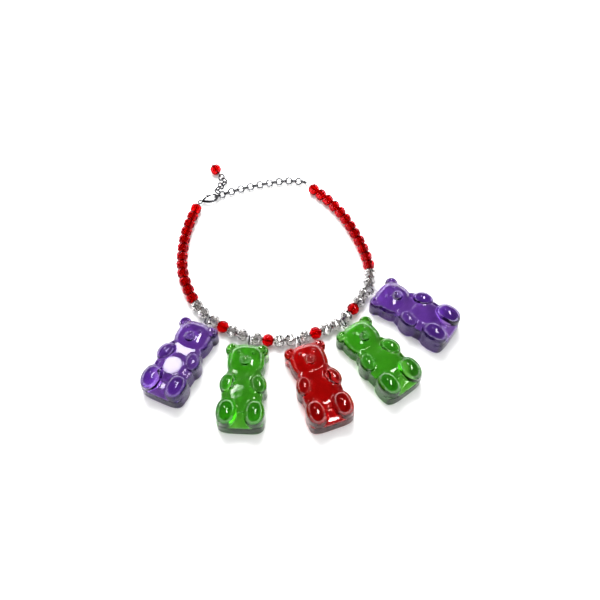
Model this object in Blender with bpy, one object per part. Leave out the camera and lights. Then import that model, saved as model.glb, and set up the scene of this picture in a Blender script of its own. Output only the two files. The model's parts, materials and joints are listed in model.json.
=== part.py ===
"""Gummy bear necklace: clear resin bears on a strand of faceted glass beads, with a clasp and a chain.

The necklace lies flat, clasped, with the bears on their backs. +Z is up and the bears point to -Y.
"""

import math

import bmesh
import bpy
from mathutils import Matrix, Vector

MM = 0.001
UP = Vector((0, 0, 1))

# Faceted round beads, threaded end to end
BEAD_RADIUS = 4.0 * MM
BEAD_LENGTH = 6.85 * MM
BEAD_PITCH = 7.34 * MM
BEAD_SIDES = 8
BEAD_SHOULDER = 1.15 * MM
BEAD_BORE = 0.65 * MM
BEAR_SPACE = 2.6 * MM
STRAND_MARGIN = 0.9 * MM
ROLL_STEP = math.radians(137.5)

# Strand height is the bead's own radius, so that the beads lie on the ground
STRAND_HEIGHT = BEAD_RADIUS
WIRE_RADIUS = 0.2 * MM

# Order of the beads from the clasp round to the chain; an asterisk is a bear's jump ring
BEAD_ORDER = "RRRRRRRRRRRRCC*CRCC*CRCC*CRCC*CRCC*CCRRRRRRRRRRRR"

# The strand's route over the ground in millimetres, from the clasp end to the chain end
STRAND_ROUTE = [
    (-75.6, 81.6), (-78.9, 69.5), (-81.9, 56.5), (-83.0, 41.0), (-82.3, 26.0), (-79.0, 12.5),
    (-73.0, -0.8), (-65.0, -12.0), (-54.0, -21.4), (-42.0, -28.0), (-28.0, -32.6), (-13.0, -34.0),
    (0.5, -31.6), (14.0, -26.6), (25.5, -20.4), (34.0, -11.6), (41.2, -1.3), (46.4, 8.6),
    (48.4, 19.8), (47.0, 31.5), (43.2, 45.0), (38.0, 57.6), (31.6, 70.6), (22.0, 84.2), (7.6, 99.0),
]

# Jump ring: a closed ring round the wire and through the bear's eyelet
RING_RADIUS = 3.0 * MM
RING_WIRE = 0.4 * MM
RING_OFFSET = 2.0 * MM

# Eyelet on the bear's head, flat like the mould, and the head's distance from the wire
EYELET_OFFSET = 5.6 * MM
EYELET_RADIUS = 1.95 * MM
EYELET_WIRE = 0.65 * MM
STALK_HALF_WIDTH = 1.7 * MM
STALK_LENGTH = 4.0 * MM
STALK_RISE = 0.585 * MM
HEAD_OFFSET = 8.6 * MM

# The directions in which the bears point, in degrees from -Y towards +X, and their colours
BEARS = [("purple", -24), ("green", -3), ("red", 20), ("green", 37), ("purple", 54)]

# Chain of round links, alternately standing and lying
LINK_RADIUS = 2.25 * MM
LINK_WIRE = 0.45 * MM
LINK_PITCH = 3.7 * MM
CHAIN_HEIGHT = 2.7 * MM
CHAIN_LINKS = 19
TAIL_LINKS = 6
CHAIN_ROUTE = [
    (2.6, 105.4), (-7.5, 106.3), (-15.0, 105.7), (-22.3, 104.4), (-36.2, 100.9), (-49.5, 96.4),
    (-64.5, 89.9),
]
TAIL_ROUTE = [
    (-61.2, 98.2, 4.3), (-58.6, 101.6, 3.2), (-57.2, 105.0, 2.8), (-59.6, 109.2, 2.75),
    (-67.0, 114.0, 2.75),
]
TAIL_REACH = 1.9 * MM
TAIL_HEIGHT = 5.0 * MM
TAIL_SHIFT = 0.9 * MM

# Lobster clasp, drawn along its length from the centre of its base ring
CLASP_HEIGHT = 2.3 * MM
CLASP_WIRE = 0.75 * MM
CLASP_TIP = 13.4 * MM
CLASP_SLACK = 0.5 * MM
CLASP_RING_RADIUS = 1.45 * MM
CLASP_RING_WIRE = 0.45 * MM
CLASP_HOOK = [
    (1.8, 0.0), (3.6, -0.9), (6.0, -2.4), (8.6, -3.1), (11.2, -2.7), (13.0, -1.3), (13.4, 0.3),
    (12.8, 1.8), (11.6, 2.7),
]
CLASP_HOOK_STEPS = 2
CLASP_NECK = [(1.8, 0.0), (3.3, 1.1), (4.7, 2.1)]
CLASP_NECK_WIRE = 0.675 * MM
CLASP_LEVER = [(6.2, 2.7), (8.0, 3.1), (10.2, 3.0)]
CLASP_LEVER_WIRE = 0.7 * MM
CLASP_TAB = [(6.9, 2.9), (6.6, 4.2)]
CLASP_TAB_WIRE = 0.5 * MM

# Wire loops at the strand's ends, and the pin that carries the end bead
END_LOOP_WIDTH = 1.7 * MM
END_LOOP_CLEARANCE = 1.3 * MM
END_LOOP_POINTS = 12
PIN_WIRE = 0.3 * MM
PIN_LOOP_RADIUS = 1.12 * MM
PIN_HEAD_RADIUS = 0.85 * MM
PIN_REACH = 1.6 * MM
PIN_OVERLAP = 0.1 * MM
PIN_HEAD_GAP = 0.3 * MM
END_BEAD_DIRECTION = Vector((-0.55, 0.835, 0.0)).normalized()

# A bear's rounded forms: centre across and down from the head's top, half width, half length,
# height of the upright wall, height of the dome's top, turn in degrees, squareness of the outline
BEAR_FORMS = {
    "head": (0, 11.2, 12.0, 11.2, 7.0, 15.6, 0, 2.7),
    "muzzle": (0, 14.4, 5.0, 4.4, 15.0, 19.2, 0, 2.0),
    "nose": (0, 12.8, 2.1, 1.5, 18.0, 20.0, 0, 2.0),
    "chest": (0, 26.0, 11.6, 9.6, 7.0, 14.0, 0, 3.0),
    "belly": (0, 36.0, 12.3, 10.8, 7.5, 16.8, 0, 2.6),
    "base": (0, 48.4, 14.7, 8.6, 6.6, 9.6, 0, 4.0),
}
BEAR_PAIRED_FORMS = {
    "ear": (9.4, 4.4, 4.3, 4.4, 7.5, 12.6, 0, 2.0),
    "eye": (4.3, 9.0, 1.1, 1.1, 14.4, 16.0, 0, 2.0),
    "arm": (9.9, 28.6, 4.8, 6.8, 8.5, 16.0, 20, 2.0),
    "foot": (8.5, 48.0, 6.4, 8.6, 9.0, 18.0, 0, 2.2),
}
BEAR_OUTLINE_SIDES = 12
SMALL_OUTLINE_SIDES = 8
SMALL_FORM = 4.5
BEAR_DOME_ANGLES = (0, 50)
BEAR_BURIED = 3.0 * MM
BEAR_SMOOTH_ANGLE = 40
GROUND_REACH = 100 * MM

# Segments of the small rings, of the larger jump rings and of the chain's links
SMALL_RING_SEGMENTS = 10
SMALL_RING_SIDES = 6
JUMP_RING_SEGMENTS = 10
LINK_SEGMENTS = 8
LINK_SIDES = 4

# Colour, roughness and metallic value
FINISHES = {
    "purple": ((0.16, 0.05, 0.42, 1), 0.08, 0.0),
    "green": ((0.06, 0.42, 0.05, 1), 0.08, 0.0),
    "red": ((0.62, 0.02, 0.02, 1), 0.08, 0.0),
    "red_glass": ((0.55, 0.01, 0.03, 1), 0.05, 0.0),
    "clear_glass": ((0.78, 0.80, 0.79, 1), 0.05, 0.0),
    "metal": ((0.32, 0.32, 0.33, 1), 0.25, 1.0),
    "wire": ((0.62, 0.60, 0.58, 1), 0.3, 1.0),
}


class Route:
    """A smooth line through points, read by the distance travelled along it."""

    def __init__(self, points, steps=12):
        ends = [points[0] * 2 - points[1], *points, points[-1] * 2 - points[-2]]
        self.points = []
        for before, start, end, after in zip(ends, ends[1:], ends[2:], ends[3:]):
            for step in range(steps):
                self.points.append(blend_point(before, start, end, after, step / steps))
        self.points.append(points[-1])
        self.distances = [0.0]
        for start, end in zip(self.points, self.points[1:]):
            self.distances.append(self.distances[-1] + (end - start).length)
        self.length = self.distances[-1]

    def at(self, distance):
        """The point at that distance, and the direction of travel there."""
        index = 0
        while index < len(self.points) - 2 and self.distances[index + 1] < distance:
            index += 1
        start, end = self.points[index], self.points[index + 1]
        share = (distance - self.distances[index]) / (end - start).length
        return start.lerp(end, share), (end - start).normalized()

    def walk(self, stride, count):
        """Points a straight stride apart along the line, beginning at its start."""
        found = [self.points[0]]
        distance = 0.0
        fine = stride / 200
        while len(found) < count:
            distance += fine
            point = self.at(distance)[0]
            if (point - found[-1]).length >= stride:
                found.append(point)
        return found


def blend_point(before, start, end, after, share):
    """A point of the Catmull-Rom curve between start and end."""
    return 0.5 * (
        2 * start
        + (end - before) * share
        + (2 * before - 5 * start + 4 * end - after) * share**2
        + (3 * start - before - 3 * end + after) * share**3
    )


def on_ground(points, height):
    """Ground points given in millimetres, as vectors at a height in metres."""
    return [Vector((x * MM, y * MM, height)) for x, y in points]


def placed(origin, x_axis, y_axis, z_axis):
    """The matrix of a frame with that origin and those axes."""
    matrix = Matrix((x_axis, y_axis, z_axis)).transposed().to_4x4()
    matrix.translation = origin
    return matrix


def lying_along(origin, direction):
    """A frame whose X axis runs along a level direction and whose Z axis is up."""
    return placed(origin, direction, UP.cross(direction), UP)


def clear_scene():
    for thing in list(bpy.data.objects):
        bpy.data.objects.remove(thing, do_unlink=True)


def make_materials():
    materials = {}
    for name, (colour, roughness, metallic) in FINISHES.items():
        material = bpy.data.materials.new(name)
        material.use_nodes = True
        shader = material.node_tree.nodes["Principled BSDF"]
        shader.inputs["Base Color"].default_value = colour
        shader.inputs["Roughness"].default_value = roughness
        shader.inputs["Metallic"].default_value = metallic
        materials[name] = material
    return materials


def add_object(name, mesh, material, parent, matrix=None):
    """One named piece of the necklace, placed in its parent's frame."""
    piece = bpy.data.objects.new(name, mesh)
    bpy.context.collection.objects.link(piece)
    if not mesh.materials:
        mesh.materials.append(None)
    piece.material_slots[0].link = "OBJECT"
    piece.material_slots[0].material = material
    piece.parent = parent
    piece.matrix_local = matrix or Matrix()
    return piece


def add_empty(name, matrix, parent=None):
    empty = bpy.data.objects.new(name, None)
    bpy.context.collection.objects.link(empty)
    empty.parent = parent
    empty.matrix_local = matrix
    return empty


def finish_mesh(build, name):
    """A mesh from a bmesh, with its faces turned outwards."""
    bmesh.ops.recalc_face_normals(build, faces=build.faces[:])
    mesh = bpy.data.meshes.new(name)
    build.to_mesh(mesh)
    build.free()
    return mesh


def round_off(mesh, angle=35):
    """Smooth shading, with edges kept sharp above an angle."""
    mesh.shade_smooth()
    mesh.set_sharp_from_angle(angle=math.radians(angle))
    return mesh


def moved(mesh, matrix):
    mesh.transform(matrix)
    return mesh


def tube(points, radius, sides=6, closed=False):
    """A round tube through points, closed into a ring or capped at its ends."""
    curve = bpy.data.curves.new("tube", "CURVE")
    curve.dimensions = "3D"
    curve.bevel_depth = radius
    curve.bevel_resolution = (sides - 4) // 2
    curve.use_fill_caps = True
    spline = curve.splines.new("POLY")
    spline.points.add(len(points) - 1)
    for place, point in zip(spline.points, points):
        place.co = (*point, 1)
    spline.use_cyclic_u = closed
    holder = bpy.data.objects.new("tube", curve)
    mesh = bpy.data.meshes.new_from_object(holder)
    bpy.data.objects.remove(holder)
    build = bmesh.new()
    build.from_mesh(mesh)
    bmesh.ops.remove_doubles(build, verts=build.verts[:], dist=1e-7)
    bpy.data.meshes.remove(mesh)
    return finish_mesh(build, "tube")


def ring(radius, wire, segments, sides):
    """A ring of round wire in its own XY plane, with a corner on the X axis."""
    bpy.ops.mesh.primitive_torus_add(
        major_radius=radius, minor_radius=wire, major_segments=segments, minor_segments=sides
    )
    holder = bpy.context.active_object
    mesh = holder.data
    bpy.data.objects.remove(holder)
    return mesh


def ball(centre, radius, sides=8):
    build = bmesh.new()
    bmesh.ops.create_uvsphere(build, u_segments=sides, v_segments=sides // 2 + 1, radius=radius)
    bmesh.ops.translate(build, verts=build.verts[:], vec=centre)
    return finish_mesh(build, "ball")


def block(low, high):
    build = bmesh.new()
    bmesh.ops.create_cube(build, size=1)
    for vertex in build.verts:
        for axis in range(3):
            vertex.co[axis] = low[axis] if vertex.co[axis] < 0 else high[axis]
    return finish_mesh(build, "block")


def combine(meshes, cut_away=None):
    """One closed mesh from overlapping ones, less a mesh that is cut away."""
    pieces = [bpy.data.objects.new("piece", mesh) for mesh in meshes]
    others = bpy.data.collections.new("others")
    bpy.context.scene.collection.children.link(others)
    bpy.context.collection.objects.link(pieces[0])
    for piece in pieces[1:]:
        others.objects.link(piece)
    joined = pieces[0].modifiers.new("join", "BOOLEAN")
    joined.operation = "UNION"
    joined.operand_type = "COLLECTION"
    joined.collection = others
    if cut_away:
        cutter = bpy.data.objects.new("cutter", cut_away)
        bpy.context.collection.objects.link(cutter)
        pieces.append(cutter)
        cut = pieces[0].modifiers.new("cut", "BOOLEAN")
        cut.operation = "DIFFERENCE"
        cut.object = cutter
    graph = bpy.context.evaluated_depsgraph_get()
    result = bpy.data.meshes.new_from_object(pieces[0].evaluated_get(graph))
    for piece in pieces:
        bpy.data.objects.remove(piece)
    bpy.data.collections.remove(others)
    result.materials.clear()
    return result


def bead_mesh():
    """A bead cut in three rows of flat diamonds, bored along its Z axis."""
    build = bmesh.new()
    step = math.pi / BEAD_SIDES
    half = BEAD_LENGTH / 2
    shoulder = BEAD_RADIUS * math.cos(step)
    slope = (BEAD_RADIUS - shoulder * math.cos(step)) / BEAD_SHOULDER
    end = BEAD_RADIUS - slope * half

    def row(radius, height, offset):
        corners = []
        for index in range(BEAD_SIDES):
            turn = step * (2 * index + offset)
            corners.append(build.verts.new((radius * math.cos(turn), radius * math.sin(turn), height)))
        return corners

    belt = row(BEAD_RADIUS, 0, 0)
    bores = []
    shoulders = []
    for side in (1, -1):
        shoulders.append(row(shoulder, side * BEAD_SHOULDER, 1))
        ends = row(end, side * half, 0)
        bores.append(row(BEAD_BORE, side * half, 0))
        for index in range(BEAD_SIDES):
            after = (index + 1) % BEAD_SIDES
            build.faces.new((belt[index], shoulders[-1][index], ends[index], shoulders[-1][index - 1]))
            build.faces.new((shoulders[-1][index], ends[after], ends[index]))
            build.faces.new((ends[index], ends[after], bores[-1][after], bores[-1][index]))
    for index in range(BEAD_SIDES):
        after = (index + 1) % BEAD_SIDES
        build.faces.new((belt[index], shoulders[1][index], belt[after], shoulders[0][index]))
        build.faces.new((bores[0][index], bores[0][after], bores[1][after], bores[1][index]))
    return finish_mesh(build, "bead")


def form_mesh(across, down, half_width, half_length, wall, top, turn, squareness):
    """An upright wall under a dome. Sizes are in millimetres, and the wall starts below the ground."""
    build = bmesh.new()
    sides = SMALL_OUTLINE_SIDES if half_width < SMALL_FORM else BEAR_OUTLINE_SIDES
    rows = [(1.0, -BEAR_BURIED)]
    for angle in BEAR_DOME_ANGLES:
        turned = math.radians(angle)
        rows.append((math.cos(turned), (wall + (top - wall) * math.sin(turned)) * MM))
    rings = []
    for share, height in rows:
        corners = []
        for index in range(sides):
            angle = 2 * math.pi * index / sides
            x = math.copysign(abs(math.cos(angle)) ** (2 / squareness), math.cos(angle)) * half_width
            y = math.copysign(abs(math.sin(angle)) ** (2 / squareness), math.sin(angle)) * half_length
            corners.append(build.verts.new((x * share * MM, y * share * MM, height)))
        rings.append(corners)
    peak = build.verts.new((0, 0, top * MM))
    for index in range(sides):
        after = (index + 1) % sides
        for lower, upper in zip(rings, rings[1:]):
            build.faces.new((lower[index], lower[after], upper[after], upper[index]))
        build.faces.new((rings[-1][index], rings[-1][after], peak))
    build.faces.new(rings[0])
    mesh = finish_mesh(build, "form")
    place = Vector((across * MM, -HEAD_OFFSET - down * MM, 0))
    return moved(mesh, Matrix.Translation(place) @ Matrix.Rotation(math.radians(turn), 4, "Z"))


def bear_mesh():
    """A bear on its back: X across, -Y from the head to the feet, Z up from the ground."""
    forms = [form_mesh(*sizes) for sizes in BEAR_FORMS.values()]
    for across, *sizes, turn, squareness in BEAR_PAIRED_FORMS.values():
        for side in (1, -1):
            forms.append(form_mesh(side * across, *sizes, side * turn, squareness))
    lift = Matrix.Translation((0, -EYELET_OFFSET, STRAND_HEIGHT))
    eyelet = moved(ring(EYELET_RADIUS, EYELET_WIRE, SMALL_RING_SEGMENTS, SMALL_RING_SIDES), lift)
    stalk_start = -EYELET_OFFSET - EYELET_RADIUS
    stalk = block(
        (-STALK_HALF_WIDTH, stalk_start - STALK_LENGTH, STRAND_HEIGHT - EYELET_WIRE),
        (STALK_HALF_WIDTH, stalk_start, STRAND_HEIGHT + STALK_RISE),
    )
    ground = block((-GROUND_REACH,) * 3, (GROUND_REACH, GROUND_REACH, 0))
    return round_off(combine([*forms, stalk, eyelet], ground), BEAR_SMOOTH_ANGLE)


def bead_stops():
    """Each bead's colour mark and distance, the distances of the gaps between them, and of the bears."""
    stops = []
    gaps = [0.0]
    hangs = []
    distance = STRAND_MARGIN + BEAD_LENGTH / 2
    for mark in BEAD_ORDER:
        if mark == "*":
            hangs.append(distance - (BEAD_PITCH - BEAR_SPACE) / 2)
            gaps[-1] = hangs[-1]
            distance += BEAR_SPACE
            continue
        stops.append((mark, distance))
        gaps.append(distance + BEAD_PITCH / 2)
        distance += BEAD_PITCH
    return stops, gaps[:-1], hangs


def make_strand(strand, stops, materials, root):
    """The beads along the route, each rolled differently about the wire."""
    mesh = bead_mesh()
    for number, (mark, distance) in enumerate(stops, 1):
        point, direction = strand.at(distance)
        colour = "red" if mark == "R" else "clear"
        side = UP.cross(direction)
        rolled = Matrix.Rotation(number * ROLL_STEP, 4, "Z")
        matrix = placed(point, side, direction.cross(side), direction) @ rolled
        add_object(f"bead_{number:02d}_{colour}", mesh, materials[colour + "_glass"], root, matrix)
    print("spare wire in mm", (strand.length - stops[-1][1] - BEAD_LENGTH / 2) / MM)
    return mesh


def make_bears(hangs, materials, root):
    """Each bear and its jump ring, in the frame of the hinge that they swing on."""
    bear = bear_mesh()
    loop = round_off(ring(RING_RADIUS, RING_WIRE, JUMP_RING_SEGMENTS, LINK_SIDES))
    upright = Matrix.Rotation(math.pi / 2, 4, "Y")
    standing = Matrix.Translation((0, -RING_OFFSET, STRAND_HEIGHT)) @ upright
    for number, (hang, (colour, degrees)) in enumerate(zip(hangs, BEARS), 1):
        turn = Matrix.Rotation(math.radians(degrees), 4, "Z")
        hinge = add_empty(f"bear_hinge_{number}", Matrix.Translation(hang) @ turn, root)
        down = Matrix.Translation((0, 0, -STRAND_HEIGHT))
        add_object(f"bear_{number}_{colour}", bear, materials[colour], hinge, down)
        add_object(f"jump_ring_{number}", loop, materials["metal"], hinge, down @ standing)


def link_matrix(centre, direction, stands):
    """A link's frame: its X axis along the chain, its plane upright or level."""
    side = UP.cross(direction).normalized()
    over = direction.cross(side)
    if stands:
        return placed(centre, direction, over, -side)
    return placed(centre, direction, side, over)


def link_matrices(centres, first_direction):
    """Frames for a run of links, the first of them standing."""
    matrices = [link_matrix(centres[0], first_direction, True)]
    for index in range(1, len(centres)):
        after = centres[min(index + 1, len(centres) - 1)]
        direction = (after - centres[index - 1]).normalized()
        matrices.append(link_matrix(centres[index], direction, index % 2 == 0))
    return matrices


def chain_frames(strand_end):
    """The links' frames from the strand's end to the clasp, and those of the tail beyond it."""
    centres = Route(on_ground(CHAIN_ROUTE, CHAIN_HEIGHT)).walk(LINK_PITCH, CHAIN_LINKS)
    approach = centres[0] - strand_end
    approach.z = 0
    first = (approach.normalized() + (centres[1] - centres[0]).normalized()).normalized()
    main = link_matrices(centres, first)
    along = (centres[-1] - centres[-2]).normalized()
    outward = along.cross(UP)
    start = centres[-1] - along * TAIL_SHIFT + outward * TAIL_REACH
    start.z = TAIL_HEIGHT
    route = Route([start] + [Vector(point) * MM for point in TAIL_ROUTE])
    return main, link_matrices(route.walk(LINK_PITCH, TAIL_LINKS), outward)


def make_chain(frames, materials, root):
    """All the links as one piece, each touching the next."""
    links = []
    for frame in frames:
        links.append(moved(ring(LINK_RADIUS, LINK_WIRE, LINK_SEGMENTS, LINK_SIDES), frame))
    add_object("extender_chain", round_off(combine(links)), materials["metal"], root)


def make_clasp(frame, materials, root):
    """The clasp's hook with its base ring, and the sprung lever that shuts it."""
    hook = Route([Vector((x * MM, y * MM, 0)) for x, y in CLASP_HOOK], CLASP_HOOK_STEPS).points
    neck = [Vector((x * MM, y * MM, 0)) for x, y in CLASP_NECK]
    lever = [Vector((x * MM, y * MM, 0)) for x, y in CLASP_LEVER]
    tab = [Vector((x * MM, y * MM, 0)) for x, y in CLASP_TAB]
    body = combine(
        [
            ring(CLASP_RING_RADIUS, CLASP_RING_WIRE, SMALL_RING_SEGMENTS, SMALL_RING_SIDES),
            tube(hook, CLASP_WIRE),
            tube(neck, CLASP_NECK_WIRE),
        ]
    )
    add_object("clasp_body", round_off(body), materials["metal"], root, frame)
    pivot = lever[0]
    hinge = add_empty("clasp_hinge", frame @ Matrix.Translation(pivot), root)
    blade = combine([tube(lever, CLASP_LEVER_WIRE), tube(tab, CLASP_TAB_WIRE)])
    add_object("clasp_lever", round_off(blade), materials["metal"], hinge, Matrix.Translation(-pivot))


def end_loop(start, held, sideways):
    """A closed loop of wire from the strand's end round the middle of a held wire."""
    along = held - start
    along += along.normalized() * END_LOOP_CLEARANCE
    middle = start + along / 2
    side = UP.cross(along).normalized()
    if not sideways:
        side = along.cross(side).normalized()
    points = []
    for index in range(END_LOOP_POINTS):
        turn = 2 * math.pi * index / END_LOOP_POINTS
        points.append(middle + along / 2 * math.cos(turn) + side * END_LOOP_WIDTH * math.sin(turn))
    return tube(points, WIRE_RADIUS, 4, closed=True)


def make_wire(strand, gaps, clasp_ring, first_link, materials, root):
    """The beading wire, with a loop round the clasp's ring and one round the chain's first link."""
    run = [strand.at(distance)[0] for distance in (*gaps, strand.length)]
    ring_wire = clasp_ring + (run[0] - clasp_ring).normalized() * CLASP_RING_RADIUS
    link_wire = first_link @ Vector((-LINK_RADIUS, 0, 0))
    loops = [end_loop(run[0], ring_wire, False), end_loop(run[-1], link_wire, True)]
    wire = combine([tube(run, WIRE_RADIUS, 4), *loops])
    add_object("beading_wire", round_off(wire), materials["wire"], root)


def make_end_pin(last_link, bead, materials, root):
    """The pin at the chain's end, with an eye round the last link, and the bead that it carries."""
    eye = last_link @ Vector((LINK_RADIUS, 0, 0))
    centre = eye + END_BEAD_DIRECTION * (PIN_LOOP_RADIUS + PIN_REACH + BEAD_LENGTH / 2)
    centre.z = STRAND_HEIGHT
    towards = (centre - eye).normalized()
    side = UP.cross(towards).normalized()
    upright = towards.cross(side)
    start = eye + towards * PIN_LOOP_RADIUS
    tip = centre + towards * (BEAD_LENGTH / 2 + PIN_HEAD_GAP + PIN_HEAD_RADIUS)
    loop = ring(PIN_LOOP_RADIUS, PIN_WIRE, SMALL_RING_SEGMENTS, SMALL_RING_SIDES)
    moved(loop, placed(eye, towards, upright, -side))
    shank = tube([start - towards * PIN_OVERLAP, tip], PIN_WIRE)
    pin = combine([shank, loop, ball(tip, PIN_HEAD_RADIUS, 6)])
    add_object("end_pin", round_off(pin), materials["metal"], root)
    matrix = placed(centre, side, towards.cross(side), towards)
    add_object("end_bead", bead, materials["red_glass"], root, matrix)


def stand_on_origin(root):
    """Moves the whole necklace so that the middle of its base is the origin."""
    bpy.context.view_layer.update()
    graph = bpy.context.evaluated_depsgraph_get()
    low = Vector((math.inf,) * 3)
    high = Vector((-math.inf,) * 3)
    for piece in bpy.data.objects:
        if piece.type != "MESH":
            continue
        evaluated = piece.evaluated_get(graph)
        for vertex in evaluated.data.vertices:
            place = evaluated.matrix_world @ vertex.co
            low = Vector(map(min, low, place))
            high = Vector(map(max, high, place))
    root.location = (-(low.x + high.x) / 2, -(low.y + high.y) / 2, -low.z)
    bpy.context.view_layer.update()
    print("size", [round(value / MM, 2) for value in high - low], "shift", tuple(root.location))


def main():
    clear_scene()
    materials = make_materials()
    root = add_empty("necklace", Matrix())
    strand = Route(on_ground(STRAND_ROUTE, STRAND_HEIGHT))
    stops, gaps, hangs = bead_stops()
    bead = make_strand(strand, stops, materials, root)
    make_bears([strand.at(distance)[0] for distance in hangs], materials, root)
    links, tail = chain_frames(strand.at(strand.length)[0])
    make_chain(links + tail, materials, root)
    along = links[-1].col[0].to_3d()
    clasp_ring = links[-1].translation + along * (CLASP_SLACK + CLASP_TIP)
    clasp_ring.z = CLASP_HEIGHT
    make_clasp(lying_along(clasp_ring, -along), materials, root)
    make_wire(strand, gaps, clasp_ring, links[0], materials, root)
    make_end_pin(tail[-1], bead, materials, root)
    stand_on_origin(root)
    for empty in bpy.data.objects:
        if empty.type == "EMPTY":
            place = [round(value, 6) for value in empty.matrix_world.translation]
            across = [round(value, 6) for value in empty.matrix_world.col[0][:3]]
            print(empty.name, place, across)


main()
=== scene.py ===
import json
import math

import bmesh
import bpy
from mathutils import Matrix, Vector


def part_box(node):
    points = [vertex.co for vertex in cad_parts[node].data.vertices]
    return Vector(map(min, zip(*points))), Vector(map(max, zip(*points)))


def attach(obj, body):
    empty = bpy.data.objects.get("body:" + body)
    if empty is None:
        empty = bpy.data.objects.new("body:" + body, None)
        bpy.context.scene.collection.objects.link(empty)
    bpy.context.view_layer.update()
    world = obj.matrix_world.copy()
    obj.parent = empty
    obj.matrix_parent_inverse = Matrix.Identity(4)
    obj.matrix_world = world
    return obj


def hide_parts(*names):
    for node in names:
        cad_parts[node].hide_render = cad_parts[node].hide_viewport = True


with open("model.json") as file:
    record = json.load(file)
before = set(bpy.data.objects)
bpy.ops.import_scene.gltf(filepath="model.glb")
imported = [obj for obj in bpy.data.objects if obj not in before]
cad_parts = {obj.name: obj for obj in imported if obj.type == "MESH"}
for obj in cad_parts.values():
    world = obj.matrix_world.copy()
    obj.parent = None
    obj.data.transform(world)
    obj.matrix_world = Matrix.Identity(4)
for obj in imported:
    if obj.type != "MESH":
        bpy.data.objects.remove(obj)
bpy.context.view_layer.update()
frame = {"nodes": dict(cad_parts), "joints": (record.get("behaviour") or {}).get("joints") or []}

cadNodes = frame["nodes"]
mm = 0.001
up = Vector((0, 0, 1))
hair = 1e-7  # points nearer than this, in metres, are one point

# the necklace was laid out in millimetres about a point this far from the part's own origin
layoutShift = Vector((-2.9967, -12.0770, 0)) * mm


def selectNothing():
    if bpy.context.object and bpy.context.object.mode != "OBJECT":
        bpy.ops.object.mode_set(mode="OBJECT")
    bpy.ops.object.select_all(action="DESELECT")


def takeUp(*pieces):
    selectNothing()
    for piece in pieces:
        piece.select_set(True)
    bpy.context.view_layer.objects.active = pieces[0]


def startEditing(piece):
    takeUp(piece)
    bpy.ops.object.mode_set(mode="EDIT")
    bpy.ops.mesh.select_mode(type="VERT")


def pick(test):
    # selects the points of the mesh being edited for which the test holds
    mesh = bpy.context.edit_object.data
    build = bmesh.from_edit_mesh(mesh)
    build.select_mode = {"VERT"}
    for face in build.faces:
        face.select = False
    for edge in build.edges:
        edge.select = False
    for point in build.verts:
        point.select = test(point.co)
    build.select_flush_mode()
    bmesh.update_edit_mesh(mesh)


def applyModifier(piece, kind, **settings):
    takeUp(piece)
    modifier = piece.modifiers.new("step", kind)
    for key, value in settings.items():
        setattr(modifier, key, value)
    bpy.ops.object.modifier_apply(modifier="step")


def settle(piece):
    # puts the object at the origin, unturned, with its place in its mesh
    takeUp(piece)
    bpy.ops.object.transform_apply(location=True, rotation=True, scale=True)


def copyTo(piece, name, matrix):
    twin = piece.copy()
    twin.data = piece.data.copy()
    twin.name = name
    twin.data.name = name
    bpy.context.collection.objects.link(twin)
    twin.data.transform(matrix)
    twin.data.update()
    return twin


def joinAs(name, pieces):
    takeUp(*pieces)
    if len(pieces) > 1:
        bpy.ops.object.join()
    joined = bpy.context.object
    joined.name = name
    joined.data.name = name
    return joined


def framed(origin, xAxis, yAxis, zAxis):
    matrix = Matrix((xAxis, yAxis, zAxis)).transposed().to_4x4()
    matrix.translation = origin
    return matrix


def curvePoint(before, start, end, after, share):
    # a point between start and end on a curve that also heeds their neighbours
    return 0.5 * (
        2 * start
        + (end - before) * share
        + (2 * before - 5 * start + 4 * end - after) * share**2
        + (3 * start - before - 3 * end + after) * share**3
    )


def smoothLine(points, steps=12):
    ends = [points[0] * 2 - points[1], *points, points[-1] * 2 - points[-2]]
    line = []
    for before, start, end, after in zip(ends, ends[1:], ends[2:], ends[3:]):
        for step in range(steps):
            line.append(curvePoint(before, start, end, after, step / steps))
    line.append(points[-1])
    return line


def walkLine(line, stride, count, stepsInStride=200):
    # points a straight stride apart along the line
    found = [line[0]]
    distance = 0.0
    while len(found) < count:
        distance += stride / stepsInStride
        point = pointAlong(line, distance)
        if (point - found[-1]).length >= stride:
            found.append(point)
    return found


def pointAlong(line, distance):
    # the point of the line at a distance from its start
    for start, end in zip(line, line[1:]):
        span = (end - start).length
        if distance <= span:
            return start.lerp(end, distance / span)
        distance -= span
    return line[-1]


def setInputs(node, values):
    for label, value in values.items():
        node.inputs[label].default_value = value


def newMaterial(name):
    material = bpy.data.materials.new(name)
    material.use_nodes = True
    return material, material.node_tree.nodes, material.node_tree.links


def newGroup(name, inputs, outputs):
    group = bpy.data.node_groups.new(name, "ShaderNodeTree")
    for label, kind, value in inputs:
        socket = group.interface.new_socket(name=label, in_out="INPUT", socket_type=kind)
        socket.default_value = value
    for label, kind in outputs:
        group.interface.new_socket(name=label, in_out="OUTPUT", socket_type=kind)
    return group, group.nodes.new("NodeGroupInput"), group.nodes.new("NodeGroupOutput")


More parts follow.
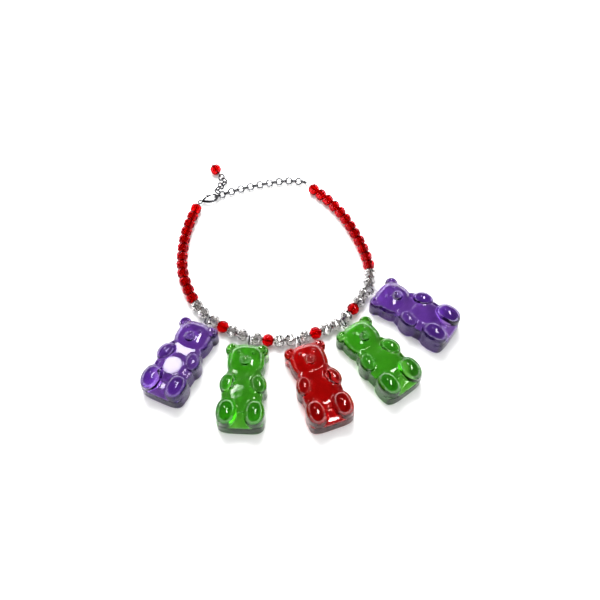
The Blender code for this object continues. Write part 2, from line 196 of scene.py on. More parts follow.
def castSurfaceGroup():
    # slow waves of a poured casting, faint smudges in its polish, and a frosted back where the
    # mould was open
    group, given, out = newGroup(
        "castSurface",
        [
            ("Wave Scale", "NodeSocketFloat", 150.0),
            ("Wave Height", "NodeSocketFloat", 0.00004),
            ("Smudge Scale", "NodeSocketFloat", 400.0),
            ("Polished", "NodeSocketFloat", 0.0),
            ("Smudged", "NodeSocketFloat", 0.06),
            ("Back Height", "NodeSocketFloat", -1.0),
            ("Frosted Back", "NodeSocketFloat", 0.5),
        ],
        [("Roughness", "NodeSocketFloat"), ("Normal", "NodeSocketVector")],
    )
    nodes, links = group.nodes, group.links
    place = nodes.new("ShaderNodeTexCoord")
    waves = nodes.new("ShaderNodeTexNoise")
    setInputs(waves, {"Detail": 1.5})
    links.new(place.outputs["Object"], waves.inputs["Vector"])
    links.new(given.outputs["Wave Scale"], waves.inputs["Scale"])
    bump = nodes.new("ShaderNodeBump")
    setInputs(bump, {"Strength": 1.0})
    links.new(given.outputs["Wave Height"], bump.inputs["Distance"])
    links.new(waves.outputs["Fac"], bump.inputs["Height"])
    smudges = nodes.new("ShaderNodeTexNoise")
    setInputs(smudges, {"Detail": 5.0, "Distortion": 0.6})
    links.new(place.outputs["Object"], smudges.inputs["Vector"])
    links.new(given.outputs["Smudge Scale"], smudges.inputs["Scale"])
    amount = nodes.new("ShaderNodeMapRange")
    setInputs(amount, {"From Min": 0.52, "From Max": 0.72})
    links.new(smudges.outputs["Fac"], amount.inputs["Value"])
    links.new(given.outputs["Polished"], amount.inputs["To Min"])
    links.new(given.outputs["Smudged"], amount.inputs["To Max"])
    split = nodes.new("ShaderNodeSeparateXYZ")
    links.new(place.outputs["Object"], split.inputs["Vector"])
    back = nodes.new("ShaderNodeMath")
    back.operation = "LESS_THAN"
    links.new(split.outputs["Z"], back.inputs[0])
    links.new(given.outputs["Back Height"], back.inputs[1])
    finish = nodes.new("ShaderNodeMix")
    links.new(back.outputs["Value"], finish.inputs["Factor"])
    links.new(amount.outputs["Result"], finish.inputs["A"])
    links.new(given.outputs["Frosted Back"], finish.inputs["B"])
    links.new(finish.outputs["Result"], out.inputs["Roughness"])
    links.new(bump.outputs["Normal"], out.inputs["Normal"])
    return group


def platedMetalGroup():
    # plating that is darker and duller in patches
    group, given, out = newGroup(
        "platedMetal",
        [
            ("Bright", "NodeSocketColor", (0.4, 0.4, 0.4, 1)),
            ("Dark", "NodeSocketColor", (0.1, 0.1, 0.1, 1)),
            ("Patch Scale", "NodeSocketFloat", 500.0),
            ("Shine", "NodeSocketFloat", 0.12),
            ("Dull", "NodeSocketFloat", 0.35),
        ],
        [("Color", "NodeSocketColor"), ("Roughness", "NodeSocketFloat"), ("Normal", "NodeSocketVector")],
    )
    nodes, links = group.nodes, group.links
    place = nodes.new("ShaderNodeTexCoord")
    patches = nodes.new("ShaderNodeTexNoise")
    setInputs(patches, {"Detail": 4.0})
    links.new(place.outputs["Object"], patches.inputs["Vector"])
    links.new(given.outputs["Patch Scale"], patches.inputs["Scale"])
    tone = nodes.new("ShaderNodeMapRange")
    setInputs(tone, {"From Min": 0.38, "From Max": 0.66})
    links.new(patches.outputs["Fac"], tone.inputs["Value"])
    mix = nodes.new("ShaderNodeMix")
    mix.data_type = "RGBA"
    # by number, because the colour sockets share their names with the plain ones
    links.new(tone.outputs["Result"], mix.inputs[0])
    links.new(given.outputs["Bright"], mix.inputs[6])
    links.new(given.outputs["Dark"], mix.inputs[7])
    dulled = nodes.new("ShaderNodeMapRange")
    links.new(tone.outputs["Result"], dulled.inputs["Value"])
    links.new(given.outputs["Shine"], dulled.inputs["To Min"])
    links.new(given.outputs["Dull"], dulled.inputs["To Max"])
    bump = nodes.new("ShaderNodeBump")
    setInputs(bump, {"Strength": 0.3, "Distance": 0.00002})
    links.new(patches.outputs["Fac"], bump.inputs["Height"])
    links.new(mix.outputs[2], out.inputs["Color"])
    links.new(dulled.outputs["Result"], out.inputs["Roughness"])
    links.new(bump.outputs["Normal"], out.inputs["Normal"])
    return group


castSurface = castSurfaceGroup()
platedMetal = platedMetalGroup()


def clearCasting(name, tint, density, index, surface):
    # a see-through solid, coloured by its depth
    material, nodes, links = newMaterial(name)
    shader = nodes["Principled BSDF"]
    setInputs(shader, {"Base Color": (1, 1, 1, 1), "Transmission Weight": 1.0, "IOR": index})
    effect = nodes.new("ShaderNodeGroup")
    effect.node_tree = castSurface
    setInputs(effect, surface)
    links.new(effect.outputs["Roughness"], shader.inputs["Roughness"])
    links.new(effect.outputs["Normal"], shader.inputs["Normal"])
    depth = nodes.new("ShaderNodeVolumeAbsorption")
    setInputs(depth, {"Color": (*tint, 1), "Density": density})
    links.new(depth.outputs["Volume"], nodes["Material Output"].inputs["Volume"])
    return material


def plating(name, values):
    # a metal finish with the patches of platedMetal
    material, nodes, links = newMaterial(name)
    shader = nodes["Principled BSDF"]
    shader.inputs["Metallic"].default_value = 1.0
    effect = nodes.new("ShaderNodeGroup")
    effect.node_tree = platedMetal
    setInputs(effect, values)
    links.new(effect.outputs["Color"], shader.inputs["Base Color"])
    links.new(effect.outputs["Roughness"], shader.inputs["Roughness"])
    links.new(effect.outputs["Normal"], shader.inputs["Normal"])
    return material


# a colour: the tint that depth gives to white light, and how soon it does
resin = {
    "index": 1.52,
    "surface": {
        "Wave Scale": 140.0,
        "Wave Height": 0.00012,
        "Smudge Scale": 350.0,
        "Smudged": 0.05,
        "Back Height": 0.00012,
        "Frosted Back": 0.15,
    },
    "purple": ((0.38, 0.08, 0.62), 115.0),
    "green": ((0.36, 0.72, 0.08), 165.0),
    "red": ((0.83, 0.05, 0.07), 240.0),
}
glass = {
    "index": {"red": 1.52, "clear": 1.68},
    "coating": {
        "red": {
            "Coat Weight": 1.0,
            "Coat IOR": 1.1,
            "Coat Roughness": 0.02,
            "Coat Tint": (1.0, 0.30, 0.38, 1),
        },
        "clear": {"Coat Weight": 1.0, "Coat IOR": 2.0, "Coat Roughness": 0.02},
    },
    "surface": {
        "Wave Scale": 500.0,
        "Wave Height": 0.00001,
        "Smudge Scale": 900.0,
        "Smudged": 0.03,
    },
    "red": ((0.953, 0.0, 0.10), 2000.0),
    "clear": ((0.26, 0.22, 0.20), 140.0),
}
resinFinish = {}
for colour in ("purple", "green", "red"):
    tint, density = resin[colour]
    resinFinish[colour] = clearCasting(colour + "Resin", tint, density, resin["index"], resin["surface"])
glassFinish = {}
for colour in ("red", "clear"):
    tint, density = glass[colour]
    index = glass["index"][colour]
    glassFinish[colour] = clearCasting(colour + "Glass", tint, density, index, glass["surface"])
    setInputs(glassFinish[colour].node_tree.nodes["Principled BSDF"], glass["coating"][colour])
darkSilver = plating(
    "darkSilver",
    {
        "Bright": (0.13, 0.13, 0.14, 1),
        "Dark": (0.04, 0.04, 0.045, 1),
        "Patch Scale": 700.0,
        "Shine": 0.14,
        "Dull": 0.36,
    },
)
brightWire = plating(
    "brightWire",
    {
        "Bright": (0.14, 0.11, 0.105, 1),
        "Dark": (0.07, 0.055, 0.05, 1),
        "Patch Scale": 1500.0,
        "Shine": 0.2,
        "Dull": 0.4,
    },
)
print("finishes made")

# a form: centre across and down from the top of the head, half width, half length, height of
# its upright wall, height of its top, turn in degrees, squareness of its outline and of its dome
bear = {
    "headOffset": 8.6,
    "single": {
        "head": (0, 11.2, 12.0, 11.2, 7.0, 15.6, 0, 2.7, 2.3),
        "muzzle": (0, 14.0, 4.3, 4.0, 12.6, 18.4, 0, 2.2, 1.8),
        "nose": (0, 12.9, 1.3, 0.9, 17.2, 19.2, 0, 2.0, 2.0),
        "chest": (0, 26.0, 11.6, 9.6, 7.0, 12.4, 0, 3.0, 9.0),
        "waist": (0, 36.0, 12.7, 11.4, 7.0, 12.4, 0, 2.8, 9.0),
        "belly": (0, 36.0, 9.6, 9.6, 11.2, 13.5, 0, 2.2, 4.5),
        "base": (0, 48.4, 14.7, 8.6, 6.6, 10.4, 0, 4.0, 4.0),
    },
    "paired": {
        "ear": (9.5, 4.4, 4.2, 4.4, 9.3, 13.4, 0, 2.0, 2.0),
        "eye": (4.3, 8.6, 1.1, 1.1, 14.2, 16.2, 0, 2.0, 2.0),
        "arm": (9.4, 28.6, 5.0, 6.8, 11.9, 16.8, 20, 2.0, 2.0),
        "foot": (8.5, 47.8, 6.4, 8.6, 12.1, 18.6, 0, 2.2, 2.0),
    },
    "eyelet": {"offset": 5.6, "radius": 1.95, "wire": 0.65, "height": 4.0},
    "stalk": {"halfWidth": 1.7, "length": 4.0, "halfHeight": 0.6, "bevel": 0.35},
    "voxel": 0.27,
    "smoothing": 7,
}
speck = 1e-6  # too small to matter on a ball of unit radius


def addForm(across, down, halfWidth, halfLength, wall, top, turn, squareness, crown):
    # the upper half of a ball, squared in outline and in height, over an upright wall
    selectNothing()
    bpy.ops.mesh.primitive_uv_sphere_add(segments=64, ring_count=64, radius=1)
    form = bpy.context.object
    startEditing(form)
    bpy.ops.mesh.select_all(action="SELECT")
    bpy.ops.mesh.bisect(plane_co=(0, 0, 0), plane_no=(0, 0, 1), clear_inner=True)
    bpy.ops.object.mode_set(mode="OBJECT")
    for point in form.data.vertices:
        x, y = point.co.x, point.co.y
        reach = min(math.hypot(x, y), 1.0)
        if reach > speck:
            cosine, sine = abs(x / reach), abs(y / reach)
            stretch = (cosine**squareness + sine**squareness) ** (-1 / squareness)
            point.co.x, point.co.y = x * stretch, y * stretch
        if point.co.z > speck:
            point.co.z = (1 - reach**crown) ** (1 / crown)
    form.scale = (halfWidth * mm, halfLength * mm, (top - wall) * mm)
    form.rotation_euler.z = math.radians(turn)
    form.location = (across * mm, -(bear["headOffset"] + down) * mm, wall * mm)
    settle(form)
    startEditing(form)
    pick(lambda place: place.z < wall * mm + hair)
    bpy.ops.mesh.extrude_region_move(TRANSFORM_OT_translate={"value": (0, 0, -wall * mm)})
    bpy.ops.mesh.edge_face_add()
    bpy.ops.object.mode_set(mode="OBJECT")
    return form


def modelBear():
    # the forms, the eyelet and its stalk, melted together
    forms = [addForm(*sizes) for sizes in bear["single"].values()]
    for across, *sizes, turn, squareness, crown in bear["paired"].values():
        for side in (1, -1):
            forms.append(addForm(side * across, *sizes, side * turn, squareness, crown))
    eyelet = bear["eyelet"]
    selectNothing()
    bpy.ops.mesh.primitive_torus_add(
        major_radius=eyelet["radius"] * mm,
        minor_radius=eyelet["wire"] * mm,
        major_segments=48,
        minor_segments=16,
        location=(0, -eyelet["offset"] * mm, eyelet["height"] * mm),
    )
    loop = bpy.context.object
    settle(loop)
    stalk = bear["stalk"]
    start = eyelet["offset"] + eyelet["radius"]
    selectNothing()
    bpy.ops.mesh.primitive_cube_add(size=1)
    neck = bpy.context.object
    neck.scale = (2 * stalk["halfWidth"] * mm, stalk["length"] * mm, 2 * stalk["halfHeight"] * mm)
    neck.location = (0, -(start + stalk["length"] / 2) * mm, eyelet["height"] * mm)
    settle(neck)
    startEditing(neck)
    bpy.ops.mesh.select_all(action="SELECT")
    bpy.ops.mesh.bevel(offset=stalk["bevel"] * mm, segments=3, affect="EDGES")
    bpy.ops.object.mode_set(mode="OBJECT")
    whole = joinAs("bearModel", [*forms, loop, neck])
    applyModifier(whole, "REMESH", mode="VOXEL", voxel_size=bear["voxel"] * mm)
    applyModifier(whole, "SMOOTH", factor=0.5, iterations=bear["smoothing"])
    return whole


# a tool: how far it reaches, how deep it goes, and the height that it stays above
face = {
    "earDimple": {"across": 9.6, "down": 4.2, "tool": (2.6, 1.1, 10)},
    "mouth": {"halfWidth": 1.6, "down": 16.2, "curve": 0.6, "steps": 12, "tool": (0.5, 0.2, 14)},
}


def headPlace(across, down):
    return Vector((across, -(bear["headOffset"] + down))) * mm


def press(piece, places, reach, depth, above):
    # lowers the surface near the places, as a blunt tool does in clay
    for point in piece.data.vertices:
        if point.co.z < above * mm:
            continue
        share = min((point.co.xy - place).length for place in places) / (reach * mm)
        if share < 1:
            point.co.z -= depth * mm * (1 - share * share) ** 2


def carveFace(piece):
    dimple = face["earDimple"]
    for side in (1, -1):
        press(piece, [headPlace(side * dimple["across"], dimple["down"])], *dimple["tool"])
    mouth = face["mouth"]
    line = []
    for step in range(2 * mouth["steps"] + 1):
        share = step / mouth["steps"] - 1
        line.append(headPlace(share * mouth["halfWidth"], mouth["down"] - mouth["curve"] * share**2))
    press(piece, line, *mouth["tool"])
    piece.data.update()


bearModel = modelBear()
carveFace(bearModel)
bpy.ops.object.shade_smooth()
lowest = min(point.co.z for point in bearModel.data.vertices)
bearModel.data.transform(Matrix.Translation((0, 0, -lowest)))
print("bear modelled:", len(bearModel.data.polygons), "faces")

# each bear's joint gives its place, and the joint's axis runs across it
swings = [joint for joint in frame["joints"] if joint["name"].startswith("bear_")]
bearPlaces = []
for number, joint in enumerate(swings, 1):
    pivot = Vector(joint["pos_m"])
    across = -Vector(joint["axis"])
    place = framed(Vector((pivot.x, pivot.y, 0)), across, up.cross(across), up)
    bearPlaces.append(place)
    body = joint["child"]
    colour = body.split("_")[2]
    piece = copyTo(bearModel, f"bear_{number}_{colour}_resin", place)
    piece.data.materials.clear()
    piece.data.materials.append(resinFinish[colour])
    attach(piece, body)
    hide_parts(f"bear_{number}_{colour}")
bpy.data.objects.remove(bearModel)
print("bears placed")

wireSeam = {"width": 0.09, "pinch": 0.8, "smoothAngle": 40.0}


def addWireRing(radius, wire, segments, sides):
    # a ring bent from round wire, with a fine groove where its two ends meet
    selectNothing()
    bpy.ops.mesh.primitive_torus_add(
        major_radius=radius * mm,
        minor_radius=wire * mm,
        major_segments=segments,
        minor_segments=sides,
    )
    ring = bpy.context.object
    pinch = wireSeam["pinch"]
    startEditing(ring)
    pick(lambda place: abs(place.y) < hair and place.x > 0)
    bpy.ops.mesh.bevel(offset=wireSeam["width"] * mm, segments=2, affect="EDGES")
    pick(lambda place: abs(place.y) < hair and place.x > 0)
    bpy.ops.transform.resize(value=(pinch, 1, pinch), center_override=(radius * mm, 0, 0))
    bpy.ops.object.mode_set(mode="OBJECT")
    return ring


def finishRing(ring):
    settle(ring)
    bpy.ops.object.shade_smooth_by_angle(angle=math.radians(wireSeam["smoothAngle"]))
    ring.data.materials.append(darkSilver)


jumpRing = {"radius": 3.0, "wire": 0.4, "offset": 2.0, "height": 4.0, "segments": 40, "sides": 12}
ringModel = addWireRing(jumpRing["radius"], jumpRing["wire"], jumpRing["segments"], jumpRing["sides"])
ringModel.rotation_euler.y = -math.pi / 2
ringModel.location = (0, -jumpRing["offset"] * mm, jumpRing["height"] * mm)
finishRing(ringModel)
for number, (place, joint) in enumerate(zip(bearPlaces, swings), 1):
    piece = copyTo(ringModel, f"jump_ring_{number}_round", place)
    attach(piece, joint["child"])
    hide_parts(f"jump_ring_{number}")
bpy.data.objects.remove(ringModel)

# standing links are rolled about the chain, and lying ones lean back from a right angle to them
chain = {
    "radius": 2.3,
    "wire": 0.5,
    "segments": 32,
    "sides": 10,
    "pitch": 3.7,
    "height": 2.4,
    "roll": 38.0,
    "lean": 20.0,
    "links": 19,
    "tailLinks": 6,
    "route": [
        (2.6, 105.4), (-7.5, 106.3), (-15.0, 105.7), (-22.3, 104.4), (-36.2, 100.9), (-49.5, 96.4),
        (-64.5, 89.9),
    ],
    "tailRoute": [
        (-61.2, 98.2, 4.3), (-58.6, 101.6, 3.2), (-57.2, 105.0, 2.8), (-59.6, 109.2, 2.75),
        (-67.0, 114.0, 2.75),
    ],
    "tailReach": 1.9,  # the tail's first link from the last one, outwards
    "tailHeight": 5.0,
    "tailShift": 0.9,  # and back along the chain
    "strandEnd": (7.6, 99.0, 4.0),
}


def linkFrame(centre, direction, stands):
    # a link's place: its length runs along the chain
    side = up.cross(direction).normalized()
    over = direction.cross(side)
    roll = chain["roll"] if stands else chain["roll"] + chain["lean"] - 90
    roll = math.radians(roll)
    across = side * math.cos(roll) + over * math.sin(roll)
    return framed(centre, direction, across, direction.cross(across))


def linkRun(centres, firstDirection):
    frames = [linkFrame(centres[0], firstDirection, True)]
    for index in range(1, len(centres)):
        after = centres[min(index + 1, len(centres) - 1)]
        direction = (after - centres[index - 1]).normalized()
        frames.append(linkFrame(centres[index], direction, index % 2 == 0))
    return frames


def linkFrames():
    line = smoothLine([Vector((x, y, chain["height"])) for x, y in chain["route"]])
    centres = walkLine(line, chain["pitch"], chain["links"])
    approach = centres[0] - Vector(chain["strandEnd"])
    approach.z = 0
    first = (approach.normalized() + (centres[1] - centres[0]).normalized()).normalized()
    main = linkRun(centres, first)
    along = (centres[-1] - centres[-2]).normalized()
    outward = along.cross(up)
    start = centres[-1] - along * chain["tailShift"] + outward * chain["tailReach"]
    start.z = chain["tailHeight"]
    tailLine = smoothLine([start] + [Vector(point) for point in chain["tailRoute"]])
    tail = linkRun(walkLine(tailLine, chain["pitch"], chain["tailLinks"]), outward)
    for matrix in main + tail:
        matrix.translation = matrix.translation * mm + layoutShift
    return main, tail


linkModel = addWireRing(chain["radius"], chain["wire"], chain["segments"], chain["sides"])
linkModel.rotation_euler.z = math.pi / 2
finishRing(linkModel)
print("ring and link bent:", len(linkModel.data.polygons), "faces in a link")
mainFrames, tailFrames = linkFrames()
links = [copyTo(linkModel, "link", place) for place in mainFrames + tailFrames]
bpy.data.objects.remove(linkModel)
chainPiece = joinAs("extender_chain_links", links)
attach(chainPiece, "strand")
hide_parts("extender_chain")
print("chain linked:", len(links), "links")


def wireAlong(name, points, radii):
    # a round wire through points, with its own radius at each
    curve = bpy.data.curves.new(name, "CURVE")
    curve.dimensions = "3D"
    curve.bevel_depth = 1.0  # so that a point's radius is the wire's own
    curve.bevel_resolution = 4
    curve.use_fill_caps = True
    spline = curve.splines.new("POLY")
    spline.points.add(len(points) - 1)
    for knot, point, radius in zip(spline.points, points, radii):
        knot.co = (*point, 1)
        knot.radius = radius
    piece = bpy.data.objects.new(name, curve)
    bpy.context.collection.objects.link(piece)
    takeUp(piece)
    bpy.ops.object.convert(target="MESH")
    piece = bpy.context.object
    startEditing(piece)
    bpy.ops.mesh.select_all(action="SELECT")
    bpy.ops.mesh.remove_doubles(threshold=hair)
    bpy.ops.mesh.normals_make_consistent(inside=False)
    bpy.ops.object.mode_set(mode="OBJECT")
    return piece


def ease(values, count):
    # spreads a few values evenly over a number of points
    found = []
    for index in range(count):
        place = index / (count - 1) * (len(values) - 1)
        low = min(int(place), len(values) - 2)
        found.append(values[low] + (values[low + 1] - values[low]) * (place - low))
    return found


# each part's wire: its radius at even steps along it
clasp = {
    "height": 2.3,
    "slack": 0.5,  # from the last link to the hook
    "tip": 13.4,  # from the base ring to the hook's far end
    "ring": {"radius": 1.45, "wire": 0.45, "segments": 32, "sides": 12},
    "hook": [
        (1.8, 0.0), (3.6, -0.9), (6.0, -2.4), (8.6, -3.1), (11.2, -2.7), (13.0, -1.3), (13.4, 0.3),
        (12.8, 1.8), (11.6, 2.7), (10.8, 3.0),
    ],
    "hookWire": (0.7, 0.95, 1.0, 0.9, 0.8, 0.75, 0.7, 0.66, 0.6, 0.4),
    "neck": [(1.8, 0.0), (3.3, 1.1), (4.7, 2.1), (5.8, 2.6)],
    "neckWire": (0.7, 0.8, 0.78, 0.7, 0.5),
    "lever": [(6.1, 2.7), (8.0, 3.1), (10.3, 3.05)],
    "leverWire": (0.5, 0.75, 0.72, 0.66, 0.62, 0.4),
    "tab": [(6.9, 2.9), (6.7, 3.7), (6.5, 4.3)],
    "tabWire": (0.5, 0.5, 0.6, 0.4),
    "steps": 6,
    "bodyVoxel": 0.12,
    "leverVoxel": 0.1,
    "smoothing": 4,
}


def claspWire(part):
    corners = [Vector((x, y, 0)) for x, y in clasp[part]]
    line = [point * mm for point in smoothLine(corners, clasp["steps"])]
    radii = [radius * mm for radius in ease(clasp[part + "Wire"], len(line))]
    return wireAlong(part, line, radii)


def castClasp(name, parts, voxel):
    # the parts melted together and put in their place
    cast = joinAs(name, parts)
    applyModifier(cast, "REMESH", mode="VOXEL", voxel_size=voxel * mm)
    applyModifier(cast, "SMOOTH", factor=0.5, iterations=clasp["smoothing"])
    cast.data.transform(claspFrame)
    return cast


along = mainFrames[-1].col[0].to_3d()
claspRing = mainFrames[-1].translation + along * (clasp["slack"] + clasp["tip"]) * mm
claspRing.z = clasp["height"] * mm
claspFrame = framed(claspRing, -along, up.cross(-along), up)
selectNothing()
bpy.ops.mesh.primitive_torus_add(
    major_radius=clasp["ring"]["radius"] * mm,
    minor_radius=clasp["ring"]["wire"] * mm,
    major_segments=clasp["ring"]["segments"],
    minor_segments=clasp["ring"]["sides"],
)
bodyParts = [bpy.context.object, claspWire("hook"), claspWire("neck")]
claspBody = castClasp("clasp_body_cast", bodyParts, clasp["bodyVoxel"])
leverParts = [claspWire("lever"), claspWire("tab")]
claspLever = castClasp("clasp_lever_cast", leverParts, clasp["leverVoxel"])
for piece, body, node in ((claspBody, "strand", "clasp_body"), (claspLever, "lever", "clasp_lever")):
    takeUp(piece)
    bpy.ops.object.shade_smooth()
    piece.data.materials.clear()
    piece.data.materials.append(darkSilver)
    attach(piece, body)
    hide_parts(node)
print("clasp made")

# a row: height above the belt, radius of its corners, and whether they stand between the belt's
bead = {
    "sides": 8,
    "rows": [(0.0, 4.25, False), (1.75, 3.926, True), (2.95, 2.85, False), (3.6, 1.6, True)],
    "bore": 0.6,
    "bevel": 0.05,
    "mergeAngle": 1.0,
    "bevelAngle": 8.0,
    "smoothAngle": 12.0,
    "facing": (0.12, -0.30, 0.946),
    "swing": 6.0,
    "swingStep": 137.5,
}


def pickFaces(test):
    # selects the faces of the mesh being edited for whose normals the test holds
    mesh = bpy.context.edit_object.data
    build = bmesh.from_edit_mesh(mesh)
    bpy.ops.mesh.select_mode(type="FACE")
    for face in build.faces:
        face.select = test(face.normal)
    build.select_flush_mode()
    bmesh.update_edit_mesh(mesh)


def modelBead():
    # a ball whose rows of corners are turned and pulled in, so that its hull is cut in flat facets
    sides, rows = bead["sides"], bead["rows"]
    close = 1e-3  # on a ball of unit radius
    selectNothing()
    bpy.ops.mesh.primitive_uv_sphere_add(segments=sides, ring_count=2 * len(rows), radius=1)
    cut = bpy.context.object
    startEditing(cut)
    for side in (1, -1):
        for number, (height, radius, turned) in enumerate(rows):
            angle = math.pi / 2 * number / len(rows)
            if number == 0 and side < 0:
                continue  # both halves share the belt
            level = side * math.sin(angle)
            pick(lambda place: abs(place.z - level) < close)
            if turned:
                halfStep = math.pi / sides
                bpy.ops.transform.rotate(value=halfStep, orient_axis="Z", center_override=(0, 0, 0))
            shrink = radius * mm / math.cos(angle)
            bpy.ops.transform.resize(value=(shrink, shrink, 1), center_override=(0, 0, 0))
            bpy.ops.transform.translate(value=(0, 0, side * height * mm - level))
        pick(lambda place: place.z * side > 1 - close)
        bpy.ops.transform.translate(value=(0, 0, side * (rows[-1][0] * mm - 1)))
    bpy.ops.mesh.select_all(action="SELECT")
    bpy.ops.mesh.convex_hull()
    bpy.ops.mesh.select_all(action="SELECT")
    bpy.ops.mesh.dissolve_limited(angle_limit=math.radians(bead["mergeAngle"]))
    pickFaces(lambda normal: abs(normal.z) > 1 - close)
    bpy.ops.mesh.inset(thickness=(rows[-1][1] * math.cos(math.pi / sides) - bead["bore"]) * mm)
    bpy.ops.mesh.bridge_edge_loops()
    bpy.ops.mesh.select_all(action="SELECT")
    bpy.ops.mesh.normals_make_consistent(inside=False)
    bpy.ops.object.mode_set(mode="OBJECT")
    applyModifier(
        cut,
        "BEVEL",
        width=bead["bevel"] * mm,
        segments=2,
        limit_method="ANGLE",
        angle_limit=math.radians(bead["bevelAngle"]),
    )
    bpy.ops.object.shade_smooth_by_angle(angle=math.radians(bead["smoothAngle"]))
    return cut


def beadCentre(node):
    low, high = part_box(node)
    return (Vector(low) + Vector(high)) / 2


def placeBead(node, number, direction):
    side = up.cross(direction).normalized()
    over = direction.cross(side)
    # most beads have one facet turned so that it mirrors a lamp
    lamp = Vector(bead["facing"])
    facing = math.atan2(lamp.dot(over), lamp.dot(side))
    swing = math.radians(bead["swing"] * math.sin(number * bead["swingStep"]))
    turned = Matrix.Rotation(facing - math.pi / bead["sides"] + swing, 4, "Z")
    place = framed(beadCentre(node), side, over, direction) @ turned
    piece = copyTo(beadModel, node + "_cut", place)
    colour = "clear" if node.endswith("clear") else "red"
    piece.data.materials.append(glassFinish[colour])
    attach(piece, "strand")
    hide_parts(node)


beadModel = modelBead()
print("bead cut:", len(beadModel.data.polygons), "faces")
beadNodes = sorted(name for name in cadNodes if name.startswith("bead_"))
centres = [beadCentre(node) for node in beadNodes]
for number, node in enumerate(beadNodes):
    before, after = centres[max(number - 1, 0)], centres[min(number + 1, len(centres) - 1)]
    placeBead(node, number, (after - before).normalized())
placeBead("end_bead", 0, (beadCentre("end_bead") - tailFrames[-1].translation).normalized())
bpy.data.objects.remove(beadModel)
print("beads placed:", len(beadNodes) + 1)

keptNodes = {"beading_wire": (brightWire, "beading_wire"), "end_pin": (darkSilver, "dark_metal")}
for node, (finish, slot) in keptNodes.items():
    piece = cadNodes[node]
    for holder in piece.material_slots:
        holder.material = finish

# a band goes from its low to its high brightness between two heights in the sky
studio = {
    "floorSize": 6.0,
    "floorDrop": 0.3,
    "floorFinish": {"Base Color": (0.94, 0.94, 0.94, 1), "Roughness": 0.7, "Specular IOR Level": 0.2},
    "background": 1.0,
    "sky": {"low": 0.75, "high": 0.88, "from": 0.05, "to": 0.35},
    "skyThroughGlass": 0.2,
    "mirrored": {"low": 4.8, "high": 0.05, "from": 0.12, "to": 0.36},
    "roomThroughGlass": 0.45,
    "card": {"towards": (-0.19, 0.47, 0.865), "from": 7.0, "to": 1.0, "strength": 17.0},
}

selectNothing()
bpy.ops.mesh.primitive_plane_add(size=studio["floorSize"], location=(0, 0, -studio["floorDrop"] * mm))
floor = bpy.context.object
floor.name = "floor"
floorFinish = newMaterial("paleFloor")[0]
setInputs(floorFinish.node_tree.nodes["Principled BSDF"], studio["floorFinish"])
floor.data.materials.append(floorFinish)

world = bpy.data.worlds.new("studio")
bpy.context.scene.world = world
world.use_nodes = True
world.cycles.sampling_method = "NONE"  # because this sky differs by the kind of ray
skyNodes, skyLinks = world.node_tree.nodes, world.node_tree.links
lookedAt = skyNodes.new("ShaderNodeTexCoord").outputs["Generated"]
path = skyNodes.new("ShaderNodeLightPath")


def byHeight(band):
    split = skyNodes.new("ShaderNodeSeparateXYZ")
    skyLinks.new(lookedAt, split.inputs["Vector"])
    rise = skyNodes.new("ShaderNodeMapRange")
    rise.interpolation_type = "SMOOTHSTEP"
    setInputs(rise, {"From Min": band["from"], "From Max": band["to"]})
    setInputs(rise, {"To Min": band["low"], "To Max": band["high"]})
    skyLinks.new(split.outputs["Z"], rise.inputs["Value"])
    return rise.outputs["Result"]


def blend(share, low, high):
    mix = skyNodes.new("ShaderNodeMix")
    skyLinks.new(share, mix.inputs["Factor"])
    for socket, value in ((mix.inputs["A"], low), (mix.inputs["B"], high)):
        if isinstance(value, float):
            socket.default_value = value
        else:
            skyLinks.new(value, socket)
    return mix.outputs["Result"]


def unlessPassed(count, before, after):
    # one light until the path has counted such a pass, and another from then on
    unpassed = skyNodes.new("ShaderNodeMath")
    unpassed.operation = "LESS_THAN"
    unpassed.inputs[1].default_value = 0.5
    skyLinks.new(path.outputs[count], unpassed.inputs[0])
    return blend(unpassed.outputs["Value"], after, before)


def withCard(card, room):
    # a soft-edged white card hung up in the mirrored room
    facing = skyNodes.new("ShaderNodeVectorMath")
    facing.operation = "DOT_PRODUCT"
    skyLinks.new(lookedAt, facing.inputs[0])
    facing.inputs[1].default_value = Vector(card["towards"]).normalized()
    edge = skyNodes.new("ShaderNodeMapRange")
    edge.interpolation_type = "SMOOTHSTEP"
    outer, inner = math.cos(math.radians(card["from"])), math.cos(math.radians(card["to"]))
    setInputs(edge, {"From Min": outer, "From Max": inner, "To Max": card["strength"]})
    skyLinks.new(facing.outputs["Value"], edge.inputs["Value"])
    total = skyNodes.new("ShaderNodeMath")
    skyLinks.new(edge.outputs["Result"], total.inputs[0])
    skyLinks.new(room, total.inputs[1])
    return total.outputs["Value"]


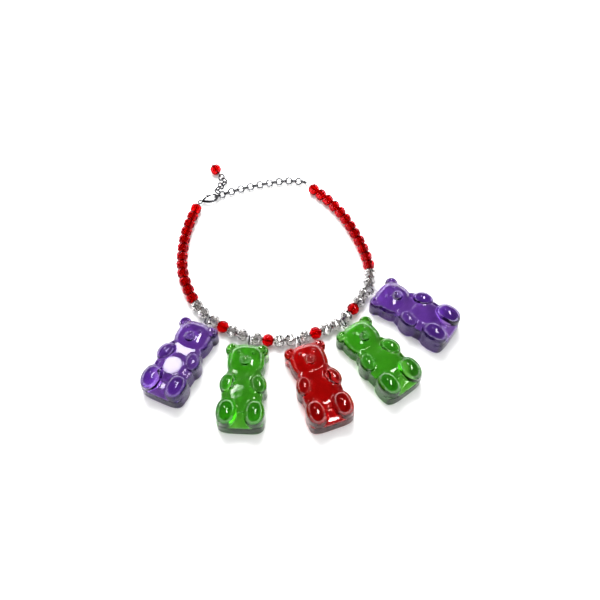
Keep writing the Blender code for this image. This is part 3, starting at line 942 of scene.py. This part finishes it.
# the floor is lit by a bright sky, polished surfaces mirror a dark room with a bright rim,
# and the open background is plain white
mirroredRoom = withCard(studio["card"], byHeight(studio["mirrored"]))
floorLight = unlessPassed("Transmission Depth", byHeight(studio["sky"]), studio["skyThroughGlass"])
roomLight = unlessPassed("Transmission Depth", mirroredRoom, studio["roomThroughGlass"])
lighting = unlessPassed("Diffuse Depth", roomLight, floorLight)
strength = blend(path.outputs["Is Camera Ray"], lighting, studio["background"])
sky = skyNodes["Background"]
setInputs(sky, {"Color": (1, 1, 1, 1)})
skyLinks.new(strength, sky.inputs["Strength"])

# each lamp reaches one thing: what is seen through the glass, the floor, or the mirrored highlights
lamps = {
    "frontLamp": {"size": (0.4, 0.4), "power": 6.3, "place": (0.25, -0.35, 0.55), "reaches": "glass"},
    "backLamp": {"size": (0.5, 0.5), "power": 7.5, "place": (-0.10, 0.44, 0.60), "reaches": "floor"},
    "longCard": {"size": (0.45, 0.15), "power": 5.0, "place": (0.16, -0.028, 0.75), "reaches": "mirrors"},
}


def addSoftLight(name, settings):
    data = bpy.data.lights.new(name, "AREA")
    data.shape = "RECTANGLE"
    data.size, data.size_y = settings["size"]
    data.energy = settings["power"]
    light = bpy.data.objects.new(name, data)
    bpy.context.collection.objects.link(light)
    light.location = settings["place"]
    light.rotation_mode = "QUATERNION"
    light.rotation_quaternion = (-Vector(settings["place"])).to_track_quat("-Z", "Y")
    light.visible_transmission = settings["reaches"] == "glass"
    light.visible_diffuse = settings["reaches"] == "floor"
    light.visible_glossy = settings["reaches"] == "mirrors"


for name, settings in lamps.items():
    addSoftLight(name, settings)

view = {
    "elevation": 57.4,
    "distance": 471.0,
    "lens": 41.4,
    "sensor": 36.0,
    "nearest": 0.01,
    "farthest": 50.0,
    "look": "Medium High Contrast",
}
tilt = math.radians(view["elevation"])
camera = bpy.data.objects.new("camera", bpy.data.cameras.new("camera"))
bpy.context.collection.objects.link(camera)
outward = Vector((0, -math.cos(tilt), math.sin(tilt)))
camera.location = layoutShift + outward * view["distance"] * mm
camera.rotation_euler = (math.pi / 2 - tilt, 0, 0)
camera.data.lens = view["lens"]
camera.data.sensor_width = view["sensor"]
camera.data.clip_start = view["nearest"]
camera.data.clip_end = view["farthest"]
bpy.context.scene.camera = camera
bpy.context.scene.view_settings.view_transform = "Standard"
bpy.context.scene.view_settings.look = view["look"]
print("studio lit, camera placed")

print("scene done")
